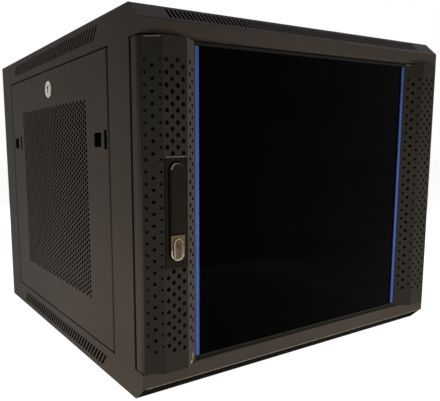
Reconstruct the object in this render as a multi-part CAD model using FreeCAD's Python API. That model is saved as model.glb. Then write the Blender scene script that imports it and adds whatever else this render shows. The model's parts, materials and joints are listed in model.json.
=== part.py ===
import FreeCAD, Part
import math
import os

# Wall mount network cabinet with a hinged glass door and two lift-off side panels.
# Millimetres. X runs to the right, Y to the wall behind, Z up.
# The origin is the middle of the base, on the surface that the cabinet stands on.

V = FreeCAD.Vector
RIGHT = V(1, 0, 0)
BACKWARD = V(0, 1, 0)
UP = V(0, 0, 1)

# ---------------------------------------------------------------- whole cabinet
rail_web_x = 254.0           # outer face of a 19-inch rail's side web, from the middle
side_room = 46.0             # from there to the side of the cabinet
depth = 600.0
rack_units = 9
rack_unit = 44.45
rail_end_room = 10.475       # between the rack space and the top or bottom frame
cap_height = 40.0            # height of the top and bottom frames
cap_chamfer = 20.0           # sloping front edge of those frames
frame_sheet = 1.2
bend_radius = 0.0            # inside radius of the folds, which are drawn sharp to keep the model light

half_width = rail_web_x + side_room
front = -depth / 2
back = depth / 2
low = cap_height
high = cap_height + 2 * rail_end_room + rack_units * rack_unit
height = high + cap_height
middle = height / 2

# ---------------------------------------------------------------- top and bottom frames
cap_seat_width = 38.0        # inward flange that the posts stand against
cap_lip = 15.0               # inward lip that carries the flat plate
cap_front_depth = 50.0
side_slot_pitch = 10.0
side_slot_width = 4.4
side_slot_height = 19.0
side_slot_lean = 15.5        # how far the top of a slot leans to the front
side_slot_above_seat = 12.5  # from the panel side of a frame to the slots
side_slot_first = 118.0      # from the front to the first slot's middle
side_slot_last = 102.0       # from the back to the last slot's middle
front_slot_pitch = 6.57
front_slot_width = 3.0
front_slot_margin = 50.0
front_slot_end = 4.5         # plain metal above and below a slot on the slope
cable_hole_width = 300.0
cable_hole_depth = 80.0
cable_hole_from_back = 40.0
cable_cover_overlap = 15.0
cable_cover_sheet = 1.5

# ---------------------------------------------------------------- posts and rear panel
door_depth = 18.0            # folded edge of the door
door_seat_gap = 3.0          # between the closed door and the posts
front_post_side = 58.0
front_post_flange = 25.0
rear_post_side = 60.0
rear_post_back = 40.0
post_ledge = 15.0
panel_edge_depth = 12.0      # folded edge of a side panel
panel_seat_gap = 0.3
rear_panel_edge = 20.0
wall_hole_radius = 5.0
wall_hole_span_x = 440.0
wall_hole_span_z = 300.0

post_front = front + door_depth + door_seat_gap
panel_front = post_front + front_post_side
panel_back = back - rear_post_side
ledge_x = half_width - panel_edge_depth - panel_seat_gap

# ---------------------------------------------------------------- braces and 19-inch rails
rail_sheet = 2.0
rail_opening = 450.85
rail_hole_centres = 465.12
rail_web_depth = 45.0
rail_hole = 9.5
rail_hole_heights = (6.35, 22.225, 38.1)
front_rail_setback = 57.0
rear_rail_setback = 130.0
brace_height = 30.0
brace_lip = 8.0
brace_end_gap = 2.0
upper_brace = 347.0          # middle of the upper brace above the bottom of the rails
lower_brace = 63.0
nut_plate = 5.0
nut_plate_inset = 8.0        # inside the two ends of the rail's web
nut_plate_room = 1.0         # above and below, inside the brace

# ---------------------------------------------------------------- earth stud
stud_nut_flats = 10.0
stud_nut = 4.0
stud_radius = 3.0
stud_length = 20.0
stud_inset_x = 30.0
stud_from_front = 150.0

# ---------------------------------------------------------------- door
door_gap = 2.0               # above and below the door
stile_width = 83.7
stile_bulge = 15.0           # how far the ridge stands in front of the frames
outer_slope = 25.0
inner_slope = 23.2
inner_edge_drop = 2.8        # inner edge behind the front plane
stile_return = 15.0
glass_thickness = 4.0
glass_drop = 5.0             # glass face behind the front plane
glass_gap = 0.3
glass_flange = 14.0
rail_strip = 4.0             # visible edge of the door's top and bottom rails
rail_back_lip = 12.0
trim_width = 7.2

hole_reach = 3.2             # from the middle of a hole to its corners
hole_row_pitch = 14.7
hole_column_pitch = 7.9
hole_rows = 25
ridge_columns = 4

door_low = low + door_gap
door_high = high - door_gap
door_back = front + door_depth
stile_inner = half_width - stile_width
ridge_front = front - stile_bulge
ridge_outer = half_width - outer_slope
ridge_inner = stile_inner + inner_slope
ridge_middle = (ridge_outer + ridge_inner) / 2
glass_front = front + glass_drop
glass_back = glass_front + glass_thickness

# ---------------------------------------------------------------- door hinge
hinge_inset_x = 8.0
hinge_inset_y = 10.5         # in front of the door's rear edge
hinge_pin_radius = 3.0
hinge_clearance = 0.08
hinge_pin_collar = 4.5
hinge_pin_reach = 6.0        # beyond the door's end
collar_gap = 0.3             # between a pin's collar and the frame

hinge_x = half_width - hinge_inset_x
hinge_y = door_back - hinge_inset_y

# ---------------------------------------------------------------- swing handle
handle_bottom = 178.5
handle_height = 138.5
handle_width = 32.0
handle_fit = 0.3
handle_hole_edge = 2.5       # plain metal between the handle's window and the nearest hole
handle_rim = 1.4
pocket_depth = 4.0
handle_body_depth = 15.0
pivot_from_top = 15.5
rotor_radius = 7.0
rotor_clearance = 0.08
rotor_lift = 0.6             # of the rotor's face above the pocket floor
rotor_back_reach = 12.0      # behind the door's rear edge
cam_thickness = 3.0
cam_width = 19.0
cam_hub_wall = 2.5
cam_gap = 0.8                # between the cam's end and the post flange
cam_nut_flats = 12.0
cam_nut_height = 2.5
lever_width = 20.4
lever_thickness = 5.0
lever_rise = 0.6             # behind the lever, in front of the ridge
lever_above_pivot = 8.5
lever_bevel = 1.4
lever_pocket_width = 6.8
lever_face = 1.0
tongue_width = 6.0
tongue_radius = 2.0
lever_pin_radius = 1.3
lever_pin_length = 16.0
lever_pin_clearance = 0.06
lever_pin_end_room = 0.3
lock_gap = 1.6               # between the lever's end and the lock head
lock_length = 32.5
lock_from_end = 9.4          # recess left below the lock head
lock_rise = 4.0              # of the lock head in front of the ridge
plug_radius = 5.0
plug_clearance = 0.08
plug_from_end = 9.6
plug_inset = 0.3
plug_depth = 12.0
plug_end_room = 0.3
key_slot_width = 1.2
key_slot_height = 6.0
key_slot_depth = 3.0
cover_width = 13.4
cover_length = 27.0
cover_thickness = 1.2
cover_rivet_rise = 0.7       # of the rivet in front of the cover
cover_gap = 0.3
cover_pivot_radius = 1.5
cover_clearance = 0.08
cover_end_margin = 1.5

handle_x = -ridge_middle
handle_top = handle_bottom + handle_height
pivot_z = handle_top - pivot_from_top
pocket_floor = ridge_front + pocket_depth
handle_back = ridge_front + handle_body_depth
lever_back = ridge_front - lever_rise
lever_front = lever_back - lever_thickness
lever_pin_y = lever_back - tongue_radius + lever_rise / 2
lock_bottom = handle_bottom + lock_from_end
lock_top = lock_bottom + lock_length
lever_bottom = lock_top + lock_gap
lock_front = ridge_front - lock_rise
plug_z = lock_bottom + plug_from_end
cover_back = lock_front - cover_gap
cover_bottom = lock_bottom + cover_end_margin
cover_pivot_z = cover_bottom + cover_length - cover_width / 2

# ---------------------------------------------------------------- side panels
panel_sheet = 1.0
panel_gap = 1.0
latch_below_brace = 42.475       # from the upper brace down to the middle of the latches
latch_window = 20.0
latch_tab = 12.0
latch_travel = 6.0
latch_slit_width = 5.5
latch_slit_height = 26.0
front_latch_from_edge = 38.0     # window's middle from the opening's front edge
front_slit_from_edge = 13.0
rear_latch_from_edge = 27.0
rear_slit_from_edge = 57.0
latch_clearance = 0.4
latch_bolt_gap = 0.5             # between a bolt and the post's ledge
latch_bolt_sheet = 3.0
latch_wall = 2.0
latch_tab_inset = 0.4
latch_grip_depth = 1.4           # finger groove across the tab
lock_from_top = 33.0
lock_bezel_radius = 14.0
lock_bezel = 2.0
lock_barrel_radius = 9.5
lock_barrel_depth = 24.0
lock_plug_radius = 7.0
lock_cam_width = 13.0
lock_cam_thickness = 2.5
lock_cam_gap = 1.0               # below the top frame
lock_cam_room = 0.3              # between the cam and the end of its barrel
vent_margin_y = 79.5             # plain sheet in front of and behind the openings
vent_margin_z = 59.5             # plain sheet below and above them
vent_grid = 6                    # openings across, and as many up
vent_bar = 20.0                  # sheet left between two openings

tray_front = panel_front + panel_gap
tray_back = panel_back - panel_gap
tray_low = low + panel_gap
tray_high = high - panel_gap
panel_middle = (panel_front + panel_back) / 2
lock_z = high - lock_from_top
latch_height = low + rail_end_room + upper_brace - brace_height / 2 - latch_below_brace


# ================================================================ drawing helpers
def box(x0, x1, y0, y1, z0, z1):
    return Part.makeBox(abs(x1 - x0), abs(y1 - y0), abs(z1 - z0), V(min(x0, x1), min(y0, y1), min(z0, z1)))


def cylinder(radius, start, direction, length):
    return Part.makeCylinder(radius, length, start, direction)


def prism(sides, radius, start, direction, length, turn=0.0):
    """Regular prism: radius reaches its corners, and turn (degrees) spins it about its axis."""
    placement = FreeCAD.Placement(start, FreeCAD.Rotation(UP, direction))
    corners = []
    for i in range(sides + 1):
        angle = math.radians(turn + 360.0 * i / sides)
        corners.append(placement.multVec(V(radius * math.cos(angle), radius * math.sin(angle), 0)))
    axis = V(direction)
    axis.normalize()
    return Part.Face(Part.makePolygon(corners)).extrude(axis * length)


def hex_head(flats, start, direction, length):
    return prism(6, flats / math.sqrt(3), start, direction, length)


def threaded(radius, start, direction, length):
    """Threaded rod or barrel, drawn as a plain eight-sided bar inside its thread."""
    sides = 8
    return prism(sides, radius, start, direction, length, 180.0 / sides)


def closed_wire(corners):
    """Closed outline through (u, v, radius) corners, each rounded as far as its two sides allow."""
    count = len(corners)
    pieces = []
    for i in range(count):
        here = V(corners[i][0], corners[i][1], 0)
        before = V(corners[i - 1][0], corners[i - 1][1], 0) - here
        after = V(corners[(i + 1) % count][0], corners[(i + 1) % count][1], 0) - here
        room = 0.49 * min(before.Length, after.Length)
        before.normalize()
        after.normalize()
        half = before.getAngle(after) / 2
        reach = min(corners[i][2] / math.tan(half), room)
        if reach < 1e-6:
            pieces.append((here, None, here))
            continue
        radius = reach * math.tan(half)
        inward = before + after
        inward.normalize()
        crest = here + inward * (radius / math.sin(half) - radius)
        pieces.append((here + before * reach, crest, here + after * reach))
    edges = []
    for i in range(count):
        start, crest, end = pieces[i]
        if crest:
            edges.append(Part.Arc(start, crest, end).toShape())
        following = pieces[(i + 1) % count][0]
        if (following - end).Length > 1e-6:
            edges.append(Part.LineSegment(end, following).toShape())
    return Part.Wire(edges)


def folded_face(path, sheet, radius):
    """Section of a folded sheet: path is its outer face, and the metal lies to the right of it."""
    points = [V(u, v, 0) for u, v in path]
    headings = [(points[i + 1] - points[i]).normalize() for i in range(len(points) - 1)]
    rights = [V(d.y, -d.x, 0) for d in headings]
    outer = []
    inner = []
    for i, point in enumerate(points):
        if i in (0, len(points) - 1):
            side = rights[0] if i == 0 else rights[-1]
            outer.append((point.x, point.y, 0))
            inner.append((point.x + side.x * sheet, point.y + side.y * sheet, 0))
            continue
        mitre = (rights[i - 1] + rights[i]) * (sheet / (1 + rights[i - 1].dot(rights[i])))
        to_right = headings[i - 1].cross(headings[i]).z < 0
        tight = radius
        wide = radius + sheet if radius else 0
        outer.append((point.x, point.y, wide if to_right else tight))
        inner.append((point.x + mitre.x, point.y + mitre.y, tight if to_right else wide))
    return Part.Face(closed_wire(outer + inner[::-1]))


def place(shape, matrix):
    shape.Placement = FreeCAD.Placement(matrix)
    return shape


def along_z(face, z0, z1):
    """Pulls a section drawn in X and Y up from z0 to z1."""
    solid = face.extrude(V(0, 0, z1 - z0))
    solid.translate(V(0, 0, z0))
    return solid


def along_x(face, x0, x1):
    """Pulls a section drawn in Y and Z across from x0 to x1."""
    solid = face.extrude(V(0, 0, x1 - x0))
    return place(solid, FreeCAD.Matrix(0, 0, 1, x0, 1, 0, 0, 0, 0, 1, 0, 0, 0, 0, 0, 1))


def along_y(face, y0, y1):
    """Pulls a section drawn in X and Z back from y0 to y1."""
    solid = face.extrude(V(0, 0, y1 - y0))
    return place(solid, FreeCAD.Matrix(1, 0, 0, 0, 0, 0, -1, y1, 0, 1, 0, 0, 0, 0, 0, 1))


def to_right(shape):
    return shape.mirror(V(0, 0, 0), RIGHT)


def to_bottom(shape):
    return shape.mirror(V(0, 0, middle), UP)


def half_turn(shape, centre, axis):
    turned = shape.copy()
    turned.rotate(centre, axis, 180)
    return turned


def cut_all(shape, tools):
    return shape.cut(Part.makeCompound(tools)) if tools else shape


def group(shapes):
    return Part.makeCompound(shapes)


def spread(first, last, pitch):
    """Places from first to about last, a pitch apart, with the row centred between them."""
    count = int((last - first) / pitch + 1e-6) + 1
    start = (first + last - (count - 1) * pitch) / 2
    return [start + i * pitch for i in range(count)]


# ================================================================ top frame, and the bottom one as its mirror
cap_rear_start = back - cap_seat_width
front_member_end = front + cap_front_depth


def side_slots():
    """Slots that pass through a side skirt, each top leaning to the front."""
    bottom = high + side_slot_above_seat
    top = bottom + side_slot_height
    tools = []
    for y in spread(front + side_slot_first, back - side_slot_last, side_slot_pitch):
        corners = []
        for shift, z in ((0.5, bottom), (-0.5, top)):
            centre = y + shift * side_slot_lean
            ends = (centre - side_slot_width / 2, centre + side_slot_width / 2)
            corners += [(end, z, 0) for end in (ends if z == bottom else ends[::-1])]
        tools.append(along_x(Part.Face(closed_wire(corners)), -half_width - 1, -half_width + frame_sheet + 1))
    return tools


def side_member(slots):
    """Skirt with the chamfered nose, its seat for the posts and its lip beside the plate."""
    outline = [
        (front, high, 0),
        (front, height - cap_chamfer, 0),
        (front + cap_chamfer, height, 0),
        (back, height, 0),
        (back, high, 0),
    ]
    x0 = -half_width
    skirt = along_x(Part.Face(closed_wire(outline)), x0, x0 + frame_sheet)
    seat = box(x0, x0 + cap_seat_width, front_member_end, cap_rear_start, high, high + frame_sheet)
    lip = box(x0, x0 + cap_lip, front_member_end, back - cap_lip, height - frame_sheet, height)
    return cut_all(skirt.fuse([seat, lip]).removeSplitter(), slots)


def front_slots():
    """Row of upright slots through the slope."""
    tall = math.sqrt(2) * cap_chamfer / 2 - front_slot_end
    wide = front_slot_width / 2
    slope_middle = V(0, front + cap_chamfer / 2, height - cap_chamfer / 2)
    slots = []
    for x in spread(-half_width + front_slot_margin, half_width - front_slot_margin, front_slot_pitch):
        slot = box(-wide, wide, -tall, tall, -2 * frame_sheet, frame_sheet)
        slot.rotate(V(0, 0, 0), RIGHT, 45)
        slot.translate(slope_middle + V(x, 0, 0))
        slots.append(slot)
    return slots


def front_member(slots):
    """Front of the frame, folded over the slope, with the hole for the hinge pin."""
    path = [
        (front_member_end, high),
        (front, high),
        (front, height - cap_chamfer),
        (front + cap_chamfer, height),
        (front_member_end, height),
    ]
    inside = half_width - frame_sheet
    member = along_x(folded_face(path, frame_sheet, bend_radius), -inside, inside)
    radius = hinge_pin_radius + hinge_clearance
    hinge_hole = cylinder(radius, V(hinge_x, hinge_y, high - 1), UP, frame_sheet + 2)
    return cut_all(member, slots + [hinge_hole])


def rear_member():
    path = [(cap_rear_start, high), (back, high), (back, height), (back - cap_lip, height)]
    inside = half_width - frame_sheet
    # The metal lies to the left of this path, so it is drawn from the other end.
    return along_x(folded_face(path[::-1], frame_sheet, bend_radius), -inside, inside)


cable_y1 = back - cable_hole_from_back
cable_y0 = cable_y1 - cable_hole_depth


def cap_plate():
    edge = half_width - cap_lip
    plate = box(-edge, edge, front_member_end, back - cap_lip, height - frame_sheet, height)
    hole = cable_hole_width / 2
    return plate.cut(box(-hole, hole, cable_y0, cable_y1, height - 2 * frame_sheet, height + 1))


def cable_cover():
    half = cable_hole_width / 2 + cable_cover_overlap
    top = height - frame_sheet
    y0 = cable_y0 - cable_cover_overlap
    y1 = cable_y1 + cable_cover_overlap
    return box(-half, half, y0, y1, top - cable_cover_sheet, top)


# ================================================================ posts and rear panel
def front_post():
    path = [
        (-half_width + front_post_flange, post_front),
        (-half_width, post_front),
        (-half_width, panel_front),
        (-ledge_x, panel_front),
        (-ledge_x, panel_front + post_ledge),
    ]
    return along_z(folded_face(path, frame_sheet, bend_radius), low, high)


def rear_post():
    path = [
        (-ledge_x, panel_back - post_ledge),
        (-ledge_x, panel_back),
        (-half_width, panel_back),
        (-half_width, back),
        (-half_width + rear_post_back, back),
        (-half_width + rear_post_back, back - rear_panel_edge),
    ]
    return along_z(folded_face(path, frame_sheet, bend_radius), low, high)


def rear_panel():
    edge = half_width - rear_post_back
    path = [(-edge, back - rear_panel_edge), (-edge, back), (edge, back), (edge, back - rear_panel_edge)]
    panel = along_z(folded_face(path, frame_sheet, bend_radius), low, high)
    holes = []
    for x in (-wall_hole_span_x / 2, wall_hole_span_x / 2):
        for z in (middle - wall_hole_span_z / 2, middle + wall_hole_span_z / 2):
            holes.append(cylinder(wall_hole_radius, V(x, back - 2 * frame_sheet, z), BACKWARD, 3 * frame_sheet))
    return cut_all(panel, holes)


# ================================================================ braces and 19-inch rails
rail_low = low + rail_end_room
rail_high = high - rail_end_room
brace_x = ledge_x - frame_sheet
front_rail_y = front + front_rail_setback
rear_rail_y = back - rear_rail_setback


def brace(offset):
    """Lipped channel along the left side, from the front post's ledge to the rear post's."""
    bottom = rail_low + offset - brace_height / 2
    top = bottom + brace_height
    path = [
        (-rail_web_x, top - brace_lip),
        (-rail_web_x, top),
        (-brace_x, top),
        (-brace_x, bottom),
        (-rail_web_x, bottom),
        (-rail_web_x, bottom + brace_lip),
    ]
    # The metal lies inside the channel, to the left of this path, so it is drawn from the other end.
    section = folded_face(path[::-1], rail_sheet, bend_radius)
    return along_y(section, panel_front + brace_end_gap, panel_back - brace_end_gap)


def rack_rail(face_y, facing):
    """Angle rail on the left: facing is -1 where its holed face looks to the front."""
    web = box(-rail_web_x, -rail_web_x + rail_sheet, face_y, face_y - facing * rail_web_depth, rail_low, rail_high)
    face = box(-rail_web_x, -rail_opening / 2, face_y, face_y - facing * rail_sheet, rail_low, rail_high)
    holes = []
    half = rail_hole / 2
    beyond = rail_sheet + 1
    x = -rail_hole_centres / 2
    for unit in range(rack_units):
        for rise in rail_hole_heights:
            z = rail_low + unit * rack_unit + rise
            holes.append(box(x - half, x + half, face_y - beyond, face_y + beyond, z - half, z + half))
    return cut_all(web.fuse(face).removeSplitter(), holes)


def nut_plates():
    """Plates inside the left braces that the rails are bolted to, one behind each crossing."""
    plates = []
    x = -rail_web_x - rail_sheet
    tall = brace_height / 2 - rail_sheet - nut_plate_room
    for face_y, away in ((front_rail_y, 1), (rear_rail_y, -1)):
        for offset in (lower_brace, upper_brace):
            z = rail_low + offset
            y0 = face_y + away * nut_plate_inset
            y1 = face_y + away * (rail_web_depth - nut_plate_inset)
            plates.append(box(x - nut_plate, x, y0, y1, z - tall, z + tall))
    return plates


def earth_stud():
    foot = V(-half_width + stud_inset_x, front + stud_from_front, frame_sheet)
    stud = threaded(stud_radius, foot, UP, stud_length)
    nuts = [hex_head(stud_nut_flats, foot + V(0, 0, lift), UP, stud_nut) for lift in (0.0, 2 * stud_nut)]
    return stud.fuse(nuts)


# ================================================================ door
def stile_outline():
    """Outer face of the left stile, from the flange behind the glass round to its rear fold."""
    return [
        (-stile_inner + glass_flange, glass_back),
        (-stile_inner, glass_back),
        (-stile_inner, front + inner_edge_drop),
        (-ridge_inner, ridge_front),
        (-ridge_outer, ridge_front),
        (-half_width, front),
        (-half_width, door_back),
        (-half_width + stile_return, door_back),
    ]


def row_heights(phase):
    """Hole heights of a column: phase 0 starts the pattern, phase 1 lies half a pitch lower."""
    top = middle + ((hole_rows - 1) * hole_row_pitch + hole_row_pitch / 2) / 2
    return [top - (row + phase / 2) * hole_row_pitch for row in range(hole_rows)]


def ridge_holes(skip_low=0.0, skip_high=0.0):
    """Staggered holes through the ridge, four-sided to keep them light, left out between two heights."""
    tools = []
    for column in range(ridge_columns):
        x = -ridge_middle + (column - (ridge_columns - 1) / 2) * hole_column_pitch
        for z in row_heights(column % 2):
            if skip_low - hole_reach < z < skip_high + hole_reach:
                continue
            start = V(x, ridge_front - 1, z)
            tools.append(prism(4, hole_reach, start, BACKWARD, frame_sheet + 2))
    return tools


def plain_stile():
    """Folded strip closed by a plate at each end, with its glass flange notched for the rails."""
    strip = along_z(folded_face(stile_outline(), frame_sheet, bend_radius), door_low, door_high)
    end = [(x, y, 0) for x, y in stile_outline()[2:7]] + [(-stile_inner, door_back, 0)]
    end_face = Part.Face(closed_wire(end))
    plates = [
        along_z(end_face, door_low, door_low + frame_sheet),
        along_z(end_face, door_high - frame_sheet, door_high),
    ]
    stile = strip.fuse(plates).removeSplitter()
    beyond = -stile_inner + glass_flange + 1
    reach = rail_strip + glass_flange
    notches = [
        box(-stile_inner, beyond, front, door_back - 1e-3, door_low - 1, door_low + reach),
        box(-stile_inner, beyond, front, door_back - 1e-3, door_high - reach, door_high + 1),
    ]
    return cut_all(stile, notches)


def handle_window(room):
    half = handle_width / 2 + room
    return box(handle_x - half, handle_x + half, ridge_front - 1, front, handle_bottom - room, handle_top + room)


def left_stile():
    edge = handle_fit + handle_hole_edge
    stile = cut_all(plain_stile(), ridge_holes(handle_bottom - edge, handle_top + edge))
    return stile.cut(handle_window(handle_fit))


def right_stile():
    stile = cut_all(plain_stile(), ridge_holes())
    return half_turn(stile, V(0, 0, middle), BACKWARD)


def door_rail():
    """Top rail between the stiles: a thin strip round the edge of the glass and a flange behind it."""
    strip_low = door_high - rail_strip + glass_gap
    path = [
        (glass_back, door_high - rail_strip - glass_flange),
        (glass_back, strip_low),
        (front + inner_edge_drop, strip_low),
        (front + inner_edge_drop, door_high),
        (door_back, door_high),
        (door_back, door_high - rail_back_lip),
    ]
    return along_x(folded_face(path, frame_sheet, bend_radius), -stile_inner, stile_inner)


def door_glass():
    edge = stile_inner - glass_gap
    return box(-edge, edge, glass_front, glass_back, door_low + rail_strip, door_high - rail_strip)


def trim_strip():
    edge = stile_inner - glass_gap
    z0 = door_low + rail_strip
    z1 = door_high - rail_strip
    return box(-edge, -edge + trim_width, front + inner_edge_drop, glass_front, z0, z1)


def hinge_pin():
    """Top pin: it stands on the stile's end plate, and its collar spaces the door from the frame."""
    foot = V(hinge_x, hinge_y, door_high)
    pin = cylinder(hinge_pin_radius, foot, UP, hinge_pin_reach)
    return pin.fuse(threaded(hinge_pin_collar, foot, UP, door_gap - collar_gap)).removeSplitter()


# ================================================================ swing handle
def handle_housing():
    """Block behind a recessed face, bored for the rotor and the key plug."""
    half = handle_width / 2
    body = box(handle_x - half, handle_x + half, ridge_front, handle_back, handle_bottom, handle_top)
    inner = half - handle_rim
    z0 = handle_bottom + handle_rim
    z1 = handle_top - handle_rim
    pocket = box(handle_x - inner, handle_x + inner, ridge_front - 1, pocket_floor, z0, z1)
    through = handle_body_depth + 2
    bore = cylinder(rotor_radius + rotor_clearance, V(handle_x, ridge_front - 1, pivot_z), BACKWARD, through)
    plug_rear = lock_front + plug_inset + plug_depth
    socket_depth = plug_rear + plug_end_room - pocket_floor
    socket = cylinder(plug_radius + plug_clearance, V(handle_x, pocket_floor, plug_z), BACKWARD, socket_depth)
    return body.cut(pocket).cut(group([bore, socket]))


def rotor():
    """Shaft through the door, with the tongue that the lever hinges on and a nut behind the cam."""
    face = pocket_floor - rotor_lift
    rear = door_back + rotor_back_reach
    shaft = cylinder(rotor_radius, V(handle_x, face, pivot_z), BACKWARD, rear - face)
    half = tongue_width / 2
    left = handle_x - half
    z0 = pivot_z - tongue_radius
    z1 = pivot_z + tongue_radius
    neck = box(left, left + tongue_width, lever_pin_y, face + 1, z0, z1)
    eye = cylinder(tongue_radius, V(left, lever_pin_y, pivot_z), RIGHT, tongue_width)
    shape = shaft.fuse([neck, eye]).removeSplitter()
    nut = hex_head(cam_nut_flats, V(handle_x, rear, pivot_z), BACKWARD, cam_nut_height)
    hole = cylinder(lever_pin_radius, V(handle_x - rotor_radius, lever_pin_y, pivot_z), RIGHT, 2 * rotor_radius)
    return shape.cut(hole).fuse(nut)


def lever_pin():
    start = V(handle_x - lever_pin_length / 2, lever_pin_y, pivot_z)
    return cylinder(lever_pin_radius, start, RIGHT, lever_pin_length)


def latch_cam():
    """Tongue behind the door, held on the rotor and pointing to the post."""
    rear = door_back + rotor_back_reach
    tip = -half_width + front_post_flange + cam_gap
    half = cam_width / 2
    hub = rotor_radius + cam_hub_wall
    arm = box(tip, handle_x + hub, rear - cam_thickness, rear, pivot_z - half, pivot_z + half)
    start = V(handle_x, rear - cam_thickness - 1, pivot_z)
    return arm.cut(cylinder(rotor_radius, start, BACKWARD, cam_thickness + 2))


def handle_lever():
    """Rounded bar over the recess, hollowed at its head for the rotor's tongue."""
    half = lever_width / 2
    top = pivot_z + lever_above_pivot
    corners = [
        (handle_x - half, lever_bottom, 0),
        (handle_x - half, top, half),
        (handle_x + half, top, half),
        (handle_x + half, lever_bottom, 0),
    ]
    bar = along_y(Part.Face(closed_wire(corners)), lever_front, lever_back)
    front_edges = [e for e in bar.Edges if max(abs(v.Y - lever_front) for v in e.Vertexes) < 1e-6]
    bar = bar.makeChamfer(lever_bevel, front_edges)
    hollow = lever_pocket_width / 2
    floor = lever_front + lever_face
    below = pivot_z - 2 * lever_above_pivot
    pocket = box(handle_x - hollow, handle_x + hollow, floor, lever_back + 1, below, top + 1)
    deep = lever_pin_length + 2 * lever_pin_end_room
    start = V(handle_x - deep / 2, lever_pin_y, pivot_z)
    bore = cylinder(lever_pin_radius + lever_pin_clearance, start, RIGHT, deep)
    return bar.cut(group([pocket, bore]))


def oval(centre_x, z0, z1, wide, y0, y1):
    """Plate with two round ends."""
    half = wide / 2
    corners = [(centre_x - half, z0, half), (centre_x - half, z1, half), (centre_x + half, z1, half)]
    corners.append((centre_x + half, z0, half))
    return along_y(Part.Face(closed_wire(corners)), y0, y1)


def lock_head():
    """Fixed end of the handle, round at its foot, with the key bore and the cover's rivet."""
    half = lever_width / 2
    corners = [
        (handle_x - half, lock_bottom, half),
        (handle_x - half, lock_top, 0),
        (handle_x + half, lock_top, 0),
        (handle_x + half, lock_bottom, half),
    ]
    head = along_y(Part.Face(closed_wire(corners)), lock_front, pocket_floor)
    through = pocket_floor - lock_front + 2
    bore = cylinder(plug_radius + plug_clearance, V(handle_x, lock_front - 1, plug_z), BACKWARD, through)
    tall = cover_gap + cover_thickness + cover_rivet_rise
    rivet = cylinder(cover_pivot_radius, V(handle_x, lock_front - tall, cover_pivot_z), BACKWARD, tall + 1)
    return head.cut(bore).fuse(rivet)


def key_plug():
    face = lock_front + plug_inset
    plug = cylinder(plug_radius, V(handle_x, face, plug_z), BACKWARD, plug_depth)
    wide = key_slot_width / 2
    tall = key_slot_height / 2
    slot = box(handle_x - wide, handle_x + wide, face - 1, face + key_slot_depth, plug_z - tall, plug_z + tall)
    return plug.cut(slot)


def dust_cover():
    """Oval cover that turns on the lock head's rivet."""
    face = cover_back - cover_thickness
    plate = oval(handle_x, cover_bottom, cover_bottom + cover_length, cover_width, face, cover_back)
    radius = cover_pivot_radius + cover_clearance
    return plate.cut(cylinder(radius, V(handle_x, face - 1, cover_pivot_z), BACKWARD, cover_thickness + 2))


# ================================================================ side panels
front_window_y = panel_front + front_latch_from_edge
rear_window_y = panel_back - rear_latch_from_edge
front_bolt_tip = panel_front + post_ledge + latch_bolt_gap
rear_bolt_tip = panel_back - post_ledge - latch_bolt_gap
bolt_outer_x = -brace_x + latch_clearance
bolt_inner_x = bolt_outer_x + latch_bolt_sheet
tray_inside_x = -half_width + panel_sheet


def vent_openings():
    """Square openings through the middle of the panel, drawn much larger and fewer than its fine mesh."""
    y0 = tray_front + vent_margin_y
    z0 = tray_low + vent_margin_z
    pitch_y = (tray_back - vent_margin_y - y0) / vent_grid
    pitch_z = (tray_high - vent_margin_z - z0) / vent_grid
    half_y = (pitch_y - vent_bar) / 2
    half_z = (pitch_z - vent_bar) / 2
    tools = []
    for column in range(vent_grid):
        y = y0 + (column + 0.5) * pitch_y
        for row in range(vent_grid):
            z = z0 + (row + 0.5) * pitch_z
            tools.append(box(-half_width - 1, tray_inside_x + 1, y - half_y, y + half_y, z - half_z, z + half_z))
    return tools


def side_panel():
    """Shallow tray with its openings, windows for the latches and a hole for the lock."""
    inner_x = -half_width + panel_edge_depth
    tray = box(-half_width, inner_x, tray_front, tray_back, tray_low, tray_high)
    t = panel_sheet
    tray = tray.cut(box(tray_inside_x, inner_x + 1, tray_front + t, tray_back - t, tray_low + t, tray_high - t))
    tools = vent_openings()
    half = latch_window / 2
    slit = latch_slit_width / 2
    tall = latch_slit_height / 2
    x0 = -half_width - 1
    x1 = tray_inside_x + 1
    for y in (front_window_y, rear_window_y):
        tools.append(box(x0, x1, y - half, y + half, latch_height - half, latch_height + half))
    for y in (panel_front + front_slit_from_edge, panel_back - rear_slit_from_edge):
        tools.append(box(x0, x1, y - slit, y + slit, latch_height - tall, latch_height + tall))
    tools.append(threaded(lock_barrel_radius, V(x0, panel_middle, lock_z), RIGHT, x1 - x0))
    return cut_all(tray, tools)


def latch_slider(window_y, tip_y):
    """Finger tab in the window, its stem, and the bolt plate that reaches for the post's ledge."""
    away = 1 if tip_y > window_y else -1
    tall = latch_window / 2 - latch_clearance
    # The tab starts at the bolt side of its window and travels back across it.
    start = window_y + away * (latch_window / 2 - latch_clearance)
    end = start - away * latch_tab
    z0 = latch_height - tall
    z1 = latch_height + tall
    tab_x = -half_width + latch_tab_inset
    tab = box(tab_x, bolt_outer_x, start, end, z0, z1)
    bolt = box(bolt_outer_x, bolt_inner_x, tip_y, end, z0, z1)
    third = away * latch_tab / 3
    grip = box(tab_x - 1, tab_x + latch_grip_depth, start - third, end + third, z0 - 1, z1 + 1)
    return tab.fuse(bolt).removeSplitter().cut(grip)


def latch_housing(window_y, tip_y):
    """Guide on the inside of the panel, hollow where the slider runs."""
    away = 1 if tip_y > window_y else -1
    room = latch_window / 2
    outer = room + latch_wall
    ceiling = bolt_inner_x + latch_clearance
    inner_x = ceiling + latch_wall
    z0 = latch_height - room
    z1 = latch_height + room
    block = box(tray_inside_x, inner_x, window_y - outer, window_y + outer, z0 - latch_wall, z1 + latch_wall)
    hollow = box(tray_inside_x - 1, ceiling, window_y - room, window_y + room, z0, z1)
    mouth = box(bolt_outer_x - latch_clearance, ceiling, window_y, window_y + away * (outer + 1), z0, z1)
    return block.cut(group([hollow, mouth]))


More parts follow.
